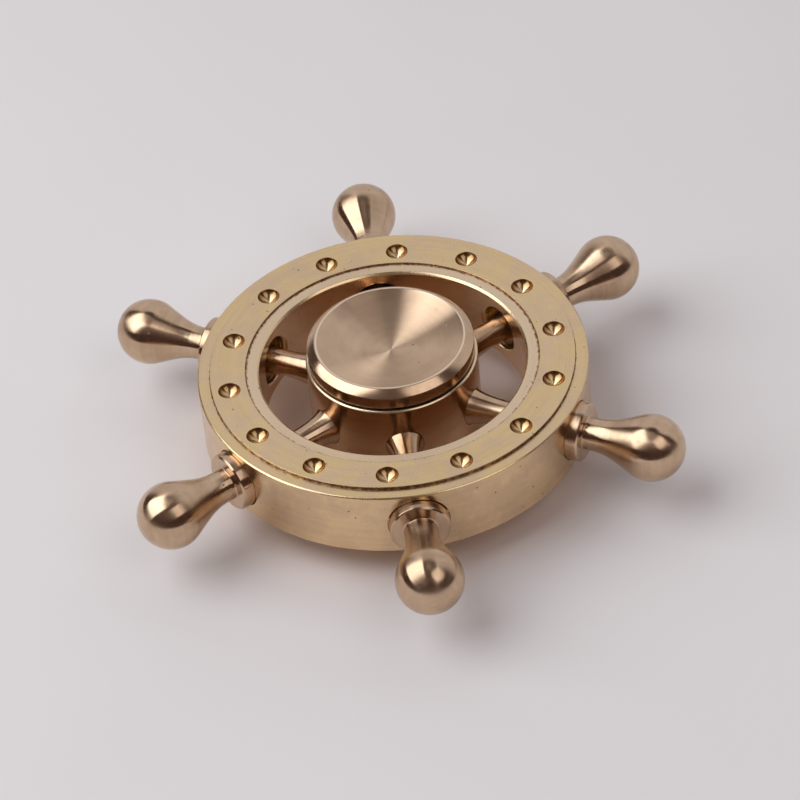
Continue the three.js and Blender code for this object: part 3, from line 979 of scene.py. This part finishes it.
class Recipe:
    """The node tree of a material or world, with short calls for the nodes used here."""

    def __init__(self, owner):
        owner.use_nodes = True
        self.owner = owner
        self.tree = owner.node_tree
        self.tree.nodes.clear()

    def add(self, kind, inputs=None, **settings):
        """The outputs of a new shader node, with its settings made and its inputs set or linked."""
        node = self.tree.nodes.new("ShaderNode" + kind)
        for key, value in settings.items():
            setattr(node, key, value)
        for key, value in (inputs or {}).items():
            if isinstance(value, bpy.types.NodeSocket):
                self.tree.links.new(value, node.inputs[key])
            else:
                node.inputs[key].default_value = value
        return node.outputs

    def maths(self, operation, *values):
        return self.add("Math", dict(enumerate(values)), operation=operation)[0]

    def plus(self, a, b):
        return self.maths("ADD", a, b)

    def times(self, a, b):
        return self.maths("MULTIPLY", a, b)

    def scaled(self, vector, factor):
        return self.add("VectorMath", {0: vector, "Scale": factor}, operation="SCALE")[0]

    def noise(self, vector, scale, detail, roughness, w=None):
        inputs = {"Vector": vector, "Scale": scale, "Detail": detail, "Roughness": roughness}
        if w is None:
            return self.add("TexNoise", inputs)["Fac"]
        inputs["W"] = w
        return self.add("TexNoise", inputs, noise_dimensions="4D")["Fac"]

    def ramp(self, value, low, high, out_low=0.0, out_high=1.0):
        inputs = {
            "Value": value, "From Min": low, "From Max": high, "To Min": out_low, "To Max": out_high,
        }
        return self.add("MapRange", inputs, interpolation_type="SMOOTHSTEP")["Result"]

    def mix(self, share, a, b):
        return self.add("Mix", {0: share, 6: a, 7: b}, data_type="RGBA")[2]

    def position(self):
        """The point in millimetres, in the object's own frame."""
        return self.scaled(self.add("TexCoord")["Object"], 1 / MM)

    def lathe_place(self):
        """Distance from the axis a face was turned about, and distance along it, in millimetres."""
        place = self.add("Attribute", attribute_name="lathe")["Vector"]
        return self.add("SeparateXYZ", {0: place})[:2]

    def tool_way(self):
        """The way the tool ran, in world space."""
        grain = self.add("Attribute", attribute_name="grain")["Vector"]
        return self.add(
            "VectorTransform", {0: grain},
            vector_type="VECTOR", convert_from="OBJECT", convert_to="WORLD",
        )[0]

    def bump(self, height, depth, normal=None, invert=False):
        """A bump as deep, in millimetres, as a height of 1."""
        inputs = {"Height": height, "Distance": depth * MM, "Strength": 1}
        if normal is not None:
            inputs["Normal"] = normal
        return self.add("Bump", inputs, invert=invert)[0]

    def finish(self, shader):
        self.add("OutputMaterial", {"Surface": shader})
        return self.owner


def new_recipe(name):
    return Recipe(bpy.data.materials.new(name))


def turned_metal(
    name, base, dark, roughness, anisotropy, groove_depth=0.0003, line_contrast=0.03, stain_and_painted_light=None,
):
    """Metal with fine turning marks, cloudy tone and a few pits.

    The stain argument, called with the recipe and a tone, mixes tarnish, painted shade and painted
    highlights into the tone, and returns the new tone and how dull each place is.
    """
    recipe = new_recipe(name)
    position = recipe.position()
    fine, coarse = turning_marks(recipe, position)
    cloud = recipe.noise(position, CLOUD_SCALE, 3, 0.6)
    speckle = recipe.noise(position, SPECKLE_SCALE, 3, 0.7)
    tone = recipe.mix(recipe.ramp(cloud, 0.42, 0.6), base, dark)
    dull = 0.0
    if stain_and_painted_light:
        tone, dull = stain_and_painted_light(recipe, tone)
    lines = recipe.ramp(coarse, 0.3, 0.7, 1 - line_contrast, 1 + line_contrast)
    shade = recipe.times(lines, recipe.ramp(speckle, 0.25, 0.75, 0.98, 1.02))
    pit = pits(recipe, position, cloud)
    final = recipe.mix(recipe.times(pit, 0.75), recipe.scaled(tone, shade), PIT)
    rough = recipe.plus(recipe.ramp(cloud, 0.3, 0.75, -0.03, 0.04), roughness)
    rough = recipe.maths("MULTIPLY_ADD", dull, 0.3, rough)
    rough = recipe.plus(rough, recipe.ramp(fine, 0.3, 0.7, -0.02, 0.02))
    grooved = recipe.bump(fine, groove_depth)
    ridged = recipe.bump(coarse, COARSE_MARK_DEPTH * groove_depth, grooved)
    pitted = recipe.bump(pit, PIT_DEPTH, ridged, invert=True)
    shader = recipe.add("BsdfPrincipled", {
        "Base Color": final,
        "Metallic": 1,
        "Roughness": rough,
        "Anisotropic": anisotropy,
        "Anisotropic Rotation": ANISOTROPIC_ROTATION,
        "Tangent": recipe.tool_way(),
        "Normal": pitted,
    })[0]
    return recipe.finish(shader)


def turning_marks(recipe, position):
    """Fine and coarse lines that run round the axis and change slowly on the way."""
    radius, along = recipe.lathe_place()
    x, y, z = recipe.add("SeparateXYZ", {0: position})[:3]
    drift = recipe.times(recipe.plus(y, z), MARK_DRIFT)
    slow_x = recipe.times(x, MARK_DRIFT)
    groove = recipe.add("CombineXYZ", {0: radius, 1: along, 2: slow_x})[0]
    fine = recipe.noise(groove, FINE_MARKS, 3, 0.75, drift)
    coarse = recipe.noise(groove, COARSE_MARKS, 2, 0.6, drift)
    return fine, coarse


def pits(recipe, position, cloud):
    """Small pits: a few lone ones, and clusters where the tone is darkest."""
    lone, cluster = (
        recipe.add("TexVoronoi", {"Vector": position, "Scale": scale}, feature="F1")["Distance"]
        for scale in (LONE_PIT_SCALE, PIT_CLUSTER_SCALE)
    )
    dark_place = recipe.ramp(cloud, 0.57, 0.62)
    clustered = recipe.times(recipe.ramp(cluster, 0.05, 0.11, 1, 0), dark_place)
    return recipe.maths("MAXIMUM", recipe.ramp(lone, 0.03, 0.06, 1, 0), clustered)


def tarnish_and_shade_ring(recipe, tone, wall_radius, land_height, outwards, width, tint):
    """Mixes a dark tint, tarnish with painted shade, into a tone at the foot of a step, with a ragged
    edge on the land beside it.
    """
    radius, along = recipe.lathe_place()
    position = recipe.position()
    ragged = recipe.ramp(recipe.noise(position, 2.5, 4, 0.7), 0.3, 0.7, -0.6 * width, 0.6 * width)
    distance = recipe.times(recipe.maths("SUBTRACT", radius, wall_radius), outwards)
    land_side = recipe.ramp(recipe.maths("SUBTRACT", distance, ragged), 0.5 * width, 1.5 * width, 1, 0)
    wall_side = recipe.ramp(distance, -0.03, -0.01)
    height = recipe.maths("ABSOLUTE", along)
    foot = recipe.ramp(height, land_height + 0.03, land_height + 0.08, 1, TARNISHED_AND_SHADED_WALL)
    patches = recipe.ramp(recipe.noise(position, 2.2, 3, 0.7), 0.38, 0.58, 0.6, 1)
    share = recipe.times(recipe.times(land_side, wall_side), patches)
    share = recipe.times(share, foot)
    return recipe.mix(share, tone, tint), share


def step_tarnish_and_shade(recipe, tone):
    """A paler inner band, and dark tarnish with painted shade in the corners of the raised band's two
    steps.
    """
    radius, along = recipe.lathe_place()
    inner = recipe.ramp(radius, BAND_INNER_RADIUS - 0.1, BAND_INNER_RADIUS, 1, 0)
    level = recipe.ramp(recipe.maths("ABSOLUTE", along), INNER_BAND - 0.08, INNER_BAND - 0.03)
    tone = recipe.mix(recipe.times(inner, level), tone, YELLOW_PALE)
    tone, inner_share = tarnish_and_shade_ring(recipe, tone, BAND_INNER_RADIUS, INNER_BAND, -1, 0.18, RED_TARNISH_AND_SHADE)
    tone, outer_share = tarnish_and_shade_ring(recipe, tone, BAND_OUTER_RADIUS, RIM_FACE, 1, 0.08, TARNISH_AND_SHADE)
    return tone, recipe.maths("MAXIMUM", inner_share, outer_share)


def painted_dimple_shade(recipe, tone):
    """Painted shade: brown down the steep walls of the dimples, but not in the radial holes."""
    _, along = recipe.lathe_place()
    height = recipe.maths("ABSOLUTE", along)
    wall = recipe.ramp(height, BAND_TOP - 0.95, BAND_TOP - 0.35, 0, 0.9)
    in_a_hole = recipe.ramp(height, BAND_TOP + 1, BAND_TOP + 2, 0, 0.9)
    return recipe.mix(recipe.maths("SUBTRACT", wall, in_a_hole), tone, DIMPLE_SHADE_PAINT), 0.0


def painted_inner_shade(recipe, tone):
    """Painted shade and reflection: a darker, redder tone on the walls inside the rim, its bore and the
    hub.
    """
    radius, _ = recipe.lathe_place()
    inside = recipe.ramp(radius, RIM_BORE_RADIUS + 0.5, RIM_BORE_RADIUS + 1, 1, 0)
    return recipe.mix(inside, tone, INNER_WALL_PAINTED_SHADE), 0.0


def painted_land_highlight(recipe, tone):
    """A painted highlight on the narrow land round the dish."""
    radius, _ = recipe.lathe_place()
    land_inner, land_outer = CAP_LAND_RADII
    outside = recipe.ramp(radius, land_inner - 0.08, land_inner)
    inside = recipe.ramp(radius, land_outer - 0.14, land_outer - 0.08, 1, 0)
    return recipe.mix(recipe.times(outside, inside), tone, LAND_HIGHLIGHT_PAINT), 0.0


def moulded_nylon(name):
    recipe = new_recipe(name)
    grain = recipe.noise(recipe.position(), 6, 3, 0.6)
    shader = recipe.add("BsdfPrincipled", {
        "Base Color": recipe.mix(recipe.ramp(grain, 0.3, 0.7), NYLON, NYLON_DARK),
        "Roughness": 0.5,
        "Normal": recipe.bump(grain, 0.01),
        "Subsurface Weight": 0.1,
    })[0]
    return recipe.finish(shader)


def pale_floor(name):
    """A plain pale matt sheet, with the warm light that the brass throws onto it painted in near the
    object, that can't be seen from below.

    It is open where the lower cap stands, so that light reaches the cap's dish in a view from below.
    """
    recipe = new_recipe(name)
    position = recipe.position()
    cloud = recipe.noise(position, 0.02, 2, 0.5)
    tone = recipe.mix(recipe.ramp(cloud, 0.2, 0.8), FLOOR, FLOOR_PALE)
    x, y = recipe.add("SeparateXYZ", {0: position})[:2]
    across = recipe.add("CombineXYZ", {0: x, 1: y})[0]
    distance = recipe.add("VectorMath", {0: across}, operation="LENGTH")["Value"]
    # Painted light: warm glow from the brass, mixed into the floor's tone near the object.
    tone = recipe.mix(recipe.ramp(distance, *PAINTED_BRASS_GLOW_RADII, 1, 0), tone, PAINTED_BRASS_GLOW)
    matt = recipe.add("BsdfPrincipled", {"Base Color": tone, "Roughness": 0.9})[0]
    clear = recipe.add("BsdfTransparent")[0]
    backfacing = recipe.add("NewGeometry")["Backfacing"]
    from_below = recipe.times(backfacing, recipe.add("LightPath")["Is Camera Ray"])
    _, land_outer = CAP_LAND_RADII
    under_cap = recipe.ramp(distance, land_outer - 0.05, land_outer, 1, 0)
    open_share = recipe.maths("MAXIMUM", from_below, under_cap)
    return recipe.finish(recipe.add("MixShader", {0: open_share, 1: matt, 2: clear})[0])


# ---------- floor, light and camera ----------

CAMERA_AZIMUTH = radians(27.06)
CAMERA_ELEVATION = radians(42.65)
CAMERA_ROLL = radians(-5.98)
CAMERA_LENS = 172.9
CAMERA_DISTANCE = 19.593 * RIM_RADIUS
# Where the rim's upper edge sits in the picture, from its middle.
SUBJECT_OFFSET = Vector((-0.0393, 0.1951)) * RIM_RADIUS

SOFTBOX_DISTANCE = 700
# The backdrop's soft edges, in degrees right of straight behind the object, and up from the floor.
BACKDROP_LEFT_EDGE = (-40, -28)
BACKDROP_RIGHT_EDGE = (78, 94)
BACKDROP_TOP_EDGE = (61, 66)
CEILING_EDGE = (77, 84)
ROOM_LIFT = (20, 55)
BACKDROP = (0.67, 0.655, 0.67, 1)
ROOM_LOW = (0.075, 0.047, 0.043, 1)
ROOM_HIGH = (0.15, 0.11, 0.10, 1)
CEILING = (0.34, 0.31, 0.30, 1)


def direction(azimuth, elevation):
    """Unit vector towards a place in the sky, in degrees, with azimuth from the camera's side."""
    turn = CAMERA_AZIMUTH + radians(azimuth)
    rise = radians(elevation)
    return Vector((sin(turn) * cos(rise), -cos(turn) * cos(rise), sin(rise)))


def build_floor():
    level = cad_box[0].z / MM
    half_side = 1500
    signs = [(-1, -1), (1, -1), (1, 1), (-1, 1)]
    corners = [Vector((x * half_side, y * half_side, level)) * MM for x, y in signs]
    mesh = bpy.data.meshes.new("floor")
    mesh.from_pydata(corners, [], [(0, 1, 2, 3)])
    mesh.materials.append(pale_floor("pale_floor"))
    new_object("floor", mesh)


def softbox(name, azimuth, elevation, width, height, power, tint):
    """An area light that faces the object, with its angles in degrees and its size in millimetres."""
    towards = direction(azimuth, elevation)
    light = bpy.data.lights.new(name, "AREA")
    light.shape = "RECTANGLE"
    light.size = width * MM
    light.size_y = height * MM
    light.energy = power
    light.color = tint
    lamp = new_object(name, light)
    lamp.location = towards * SOFTBOX_DISTANCE * MM
    lamp.rotation_mode = "QUATERNION"
    lamp.rotation_quaternion = towards.to_track_quat("Z", "Y")
    lamp.visible_camera = False


def build_sky():
    """Surroundings: a dark warm room, a dim ceiling, and a pale backdrop behind the object."""
    world = bpy.data.worlds.new("studio")
    bpy.context.scene.world = world
    sky = Recipe(world)
    ray = sky.add("TexCoord")["Generated"]
    height = sky.add("SeparateXYZ", {0: ray})[2]
    across, behind = (
        sky.add("VectorMath", {0: ray, 1: way}, operation="DOT_PRODUCT")["Value"]
        for way in (direction(90, 0), -direction(0, 0))
    )
    bearing = sky.maths("ARCTAN2", across, behind)
    from_left = sky.ramp(bearing, *in_radians(BACKDROP_LEFT_EDGE))
    to_right = sky.ramp(bearing, *in_radians(BACKDROP_RIGHT_EDGE), 1, 0)
    to_top = sky.ramp(height, *sines(BACKDROP_TOP_EDGE), 1, 0)
    backdrop = sky.times(sky.times(from_left, to_right), to_top)
    in_front = sky.ramp(behind, -0.3, 0.1, 1, 0)
    lift = sky.times(sky.ramp(height, *sines(ROOM_LIFT)), in_front)
    room = sky.mix(lift, ROOM_LOW, ROOM_HIGH)
    above = sky.mix(sky.ramp(height, *sines(CEILING_EDGE)), room, CEILING)
    glow = sky.mix(backdrop, above, BACKDROP)
    background = sky.add("Background", {"Color": glow, "Strength": 1})[0]
    sky.add("OutputWorld", {"Surface": background})


def in_radians(degrees):
    return [radians(angle) for angle in degrees]


def sines(degrees):
    return [sin(angle) for angle in in_radians(degrees)]


def build_camera():
    flat_forward = Vector((0, cos(CAMERA_ELEVATION), -sin(CAMERA_ELEVATION)))
    level_right = Vector((1, 0, 0))
    level_up = level_right.cross(flat_forward)
    right = cos(CAMERA_ROLL) * level_right + sin(CAMERA_ROLL) * level_up
    up = -sin(CAMERA_ROLL) * level_right + cos(CAMERA_ROLL) * level_up
    place = -(SUBJECT_OFFSET.x * right + SUBJECT_OFFSET.y * up + CAMERA_DISTANCE * flat_forward)
    turn = Matrix.Rotation(CAMERA_AZIMUTH, 3, "Z")
    axes = Matrix((turn @ right, turn @ up, turn @ -flat_forward)).transposed()
    data = bpy.data.cameras.new("camera")
    data.lens = CAMERA_LENS
    data.sensor_width = 36
    data.clip_start = 0.01
    data.clip_end = 10
    camera = new_object("camera", data)
    location = (turn @ place + Vector((0, 0, RIM_FACE))) * MM
    camera.matrix_world = Matrix.Translation(location) @ axes.to_4x4()
    bpy.context.scene.camera = camera


# ---------- assembly ----------

rim_brass = turned_metal(
    "yellow_brass_turned", YELLOW, YELLOW_DARK,
    roughness=0.27, anisotropy=0.3, groove_depth=0.0004, stain_and_painted_light=step_tarnish_and_shade,
)
wall_brass = turned_metal(
    "yellow_brass_wall", SIDE_YELLOW, SIDE_YELLOW_DARK,
    roughness=0.22, anisotropy=0.3, groove_depth=0.0004, stain_and_painted_light=painted_inner_shade,
)
drilled_brass = turned_metal(
    "yellow_brass_drilled", YELLOW, YELLOW_DARK, roughness=0.21, anisotropy=0.6, stain_and_painted_light=painted_dimple_shade,
)
dish_brass = turned_metal(
    "rosy_brass_dish", DISH_ROSY, DISH_ROSY_DARK, roughness=0.32, anisotropy=1, groove_depth=0.0004,
)
cap_brass = turned_metal(
    "rosy_brass_cap", ROSY, ROSY_DARK, roughness=0.2, anisotropy=0.5, stain_and_painted_light=painted_land_highlight,
)
handle_brass = turned_metal(
    "rosy_brass_handle", ROSY, ROSY_DARK,
    roughness=0.19, anisotropy=0.95, groove_depth=0.0005, line_contrast=0.05,
)
steel = turned_metal(
    "bearing_steel", STEEL, STEEL_DARK, roughness=0.2, anisotropy=0.4, line_contrast=0.02,
)

build_rim([rim_brass, drilled_brass, wall_brass])
build_hub([rim_brass, drilled_brass, wall_brass])
build_handles(handle_brass)
build_caps(dish_brass, cap_brass)
build_bearing(steel, moulded_nylon("cage_nylon"))

build_floor()
softbox("key_softbox", -91, 48, width=690, height=700, power=4.1, tint=(0.96, 0.98, 1))
softbox("fill_softbox", 45, 49, width=440, height=430, power=0.68, tint=(1, 0.97, 0.95))
build_sky()
build_camera()
bpy.context.scene.view_settings.view_transform = "Standard"
